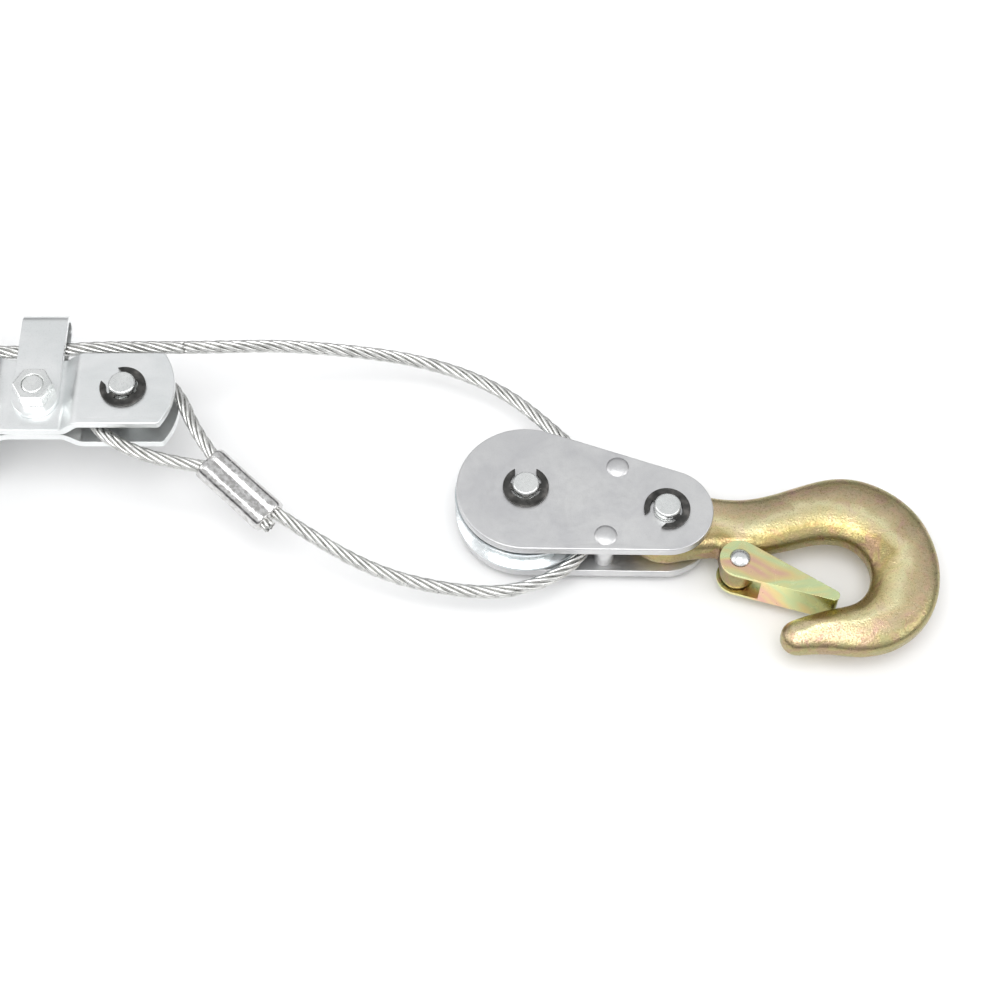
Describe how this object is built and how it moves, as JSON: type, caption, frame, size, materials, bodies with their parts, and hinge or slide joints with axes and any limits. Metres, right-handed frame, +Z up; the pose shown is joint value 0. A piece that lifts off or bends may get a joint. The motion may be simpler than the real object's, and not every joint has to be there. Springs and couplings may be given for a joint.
{
  "type": "come along winch",
  "caption": "Hand ratchet cable puller: bent strip frame with rope drum and lever handle, wire rope looped through a pulley block, and a safety hook at each end.",
  "frame": {"origin": "centre of the bottom face of the drum axle's lower head, on the drum's axis, with the winch lying on its side", "axes": "+X along the pull from the drum to the front hook, +Y across the winch to the handle's side, +Z up along the drum's axis"},
  "size_m": [0.605, 0.4272, 0.073],
  "materials": {
    "frame_zinc": "bright zinc plate, soft sheen",
    "strap_zinc": "bright zinc plate",
    "block_zinc": "satin zinc plate",
    "clip_steel": "dark oiled spring steel",
    "ferrule_aluminium": "pressed aluminium with die lines",
    "rope_steel": "galvanised steel wire rope",
    "hook_yellow_zinc": "forged surface under yellow zinc plate",
    "latch_yellow_zinc": "pressed sheet under yellow zinc plate",
    "spring_steel": "bright spring wire",
    "ratchet_zinc": "stamped and zinc plated",
    "drum_zinc": "turned, zinc plated",
    "bush_bronze": "oiled bronze",
    "sheave_zinc": "turned, bright zinc plate",
    "pawl_steel": "stamped, zinc plated",
    "handle_zinc": "bright zinc plate",
    "grip_rubber": "matt moulded rubber",
    "fastener_zinc": "bright zinc plate"
  },
  "bodies": {
    "frame": {"frame_plate_top": "frame_zinc", "frame_plate_bottom": "frame_zinc", "rope_guide_strap": "strap_zinc", "strap_bolt": "fastener_zinc", "strap_nut": "fastener_zinc", "drum_axle_bolt": "fastener_zinc", "drum_axle_nut": "fastener_zinc", "drum_washers": "fastener_zinc", "handle_washers": "fastener_zinc", "nose_pin": "fastener_zinc", "nose_pin_clips": "clip_steel", "rear_hook_pin": "fastener_zinc", "rear_hook_pin_clips": "clip_steel", "hold_pawl_pin": "fastener_zinc", "hold_pawl_spring": "spring_steel", "rope_feed": "rope_steel"},
    "drum": {"drum_core": "drum_zinc", "drum_bushes": "bush_bronze", "ratchet_wheel_top": "ratchet_zinc", "ratchet_wheel_bottom": "ratchet_zinc", "drum_dowels": "fastener_zinc", "rope_on_drum": "rope_steel"},
    "handle": {"handle_arm_top": "handle_zinc", "handle_arm_bottom": "handle_zinc", "handle_tube": "handle_zinc", "handle_grip": "grip_rubber", "handle_rivets": "fastener_zinc", "drive_pawl_pin": "fastener_zinc", "drive_pawl_spring": "spring_steel"},
    "hold_pawl": {"hold_pawl": "pawl_steel"},
    "drive_pawl": {"drive_pawl": "pawl_steel"},
    "rope_eye": {"ferrule": "ferrule_aluminium", "rope_eye_loop": "rope_steel", "rope_dead_end": "rope_steel", "rope_run": "rope_steel"},
    "block": {"block_plate_front": "block_zinc", "block_plate_rear": "block_zinc", "block_spacers": "fastener_zinc", "sheave_pin": "fastener_zinc", "front_hook_pin": "fastener_zinc", "sheave_pin_clip": "clip_steel", "front_hook_pin_clip": "clip_steel"},
    "sheave": {"sheave": "sheave_zinc", "sheave_bush": "bush_bronze"},
    "front_hook": {"front_hook": "hook_yellow_zinc", "front_latch_rivet": "fastener_zinc", "front_latch_spring": "spring_steel"},
    "front_latch": {"front_latch": "latch_yellow_zinc"},
    "rear_hook": {"rear_hook": "hook_yellow_zinc", "rear_latch_rivet": "fastener_zinc", "rear_latch_spring": "spring_steel"},
    "rear_latch": {"rear_latch": "latch_yellow_zinc"}
  },
  "joints": [
    {"name": "handle_swing", "type": "hinge", "parent": "frame", "child": "handle", "pos_m": [0, 0, 0.0365], "axis": [0, 0, 1], "range_deg": [-75, 0]},
    {"name": "drum_spin", "type": "hinge", "parent": "frame", "child": "drum", "pos_m": [0, 0, 0.0365], "axis": [0, 0, 1], "range_deg": [-2520, 157.5]},
    {"name": "hold_pawl_swing", "type": "hinge", "parent": "frame", "child": "hold_pawl", "pos_m": [-0.054, 0, 0.0365], "axis": [0, 0, 1], "range_deg": [0, 14]},
    {"name": "drive_pawl_swing", "type": "hinge", "parent": "handle", "child": "drive_pawl", "pos_m": [-0.02066, 0.04989, 0.0365], "axis": [0, 0, 1], "range_deg": [0, 14]},
    {"name": "rope_eye_swing", "type": "hinge", "parent": "frame", "child": "rope_eye", "pos_m": [0.112, 0, 0.0365], "axis": [0, 0, 1], "range_deg": [-30, 25], "deforming": ["rope_run"]},
    {"name": "block_travel", "type": "slide", "parent": "rope_eye", "child": "block", "axis": [0.9801, -0.1988, 0], "range_m": [-0.033, 0.515]},
    {"name": "sheave_spin", "type": "hinge", "parent": "block", "child": "sheave", "pos_m": [0.255, -0.029, 0.0135], "axis": [0, 0, 1], "range_deg": [-1410, 90]},
    {"name": "front_hook_swing", "type": "hinge", "parent": "block", "child": "front_hook", "pos_m": [0.305, -0.038, 0.0135], "axis": [0, 0, 1], "range_deg": [-60, 60]},
    {"name": "front_latch_swing", "type": "hinge", "parent": "front_hook", "child": "front_latch", "pos_m": [0.3301, -0.056, 0.0135], "axis": [0, 0, 1], "range_deg": [0, 26], "stiffness_Nm_per_rad": 0.02, "springref_deg": -34.38},
    {"name": "rear_hook_swing", "type": "hinge", "parent": "frame", "child": "rear_hook", "pos_m": [-0.108, 0, 0.0365], "axis": [0, 0, 1], "range_deg": [-60, 60]},
    {"name": "rear_latch_swing", "type": "hinge", "parent": "rear_hook", "child": "rear_latch", "pos_m": [-0.1331, 0.018, 0.0365], "axis": [0, 0, 1], "range_deg": [0, 26], "stiffness_Nm_per_rad": 0.02, "springref_deg": -34.38}
  ],
  "couplings": [
    {"joint": "block_travel", "follows": "drum_spin", "m_per_rad": -0.01165},
    {"joint": "sheave_spin", "follows": "drum_spin", "ratio": 0.55742}
  ]
}
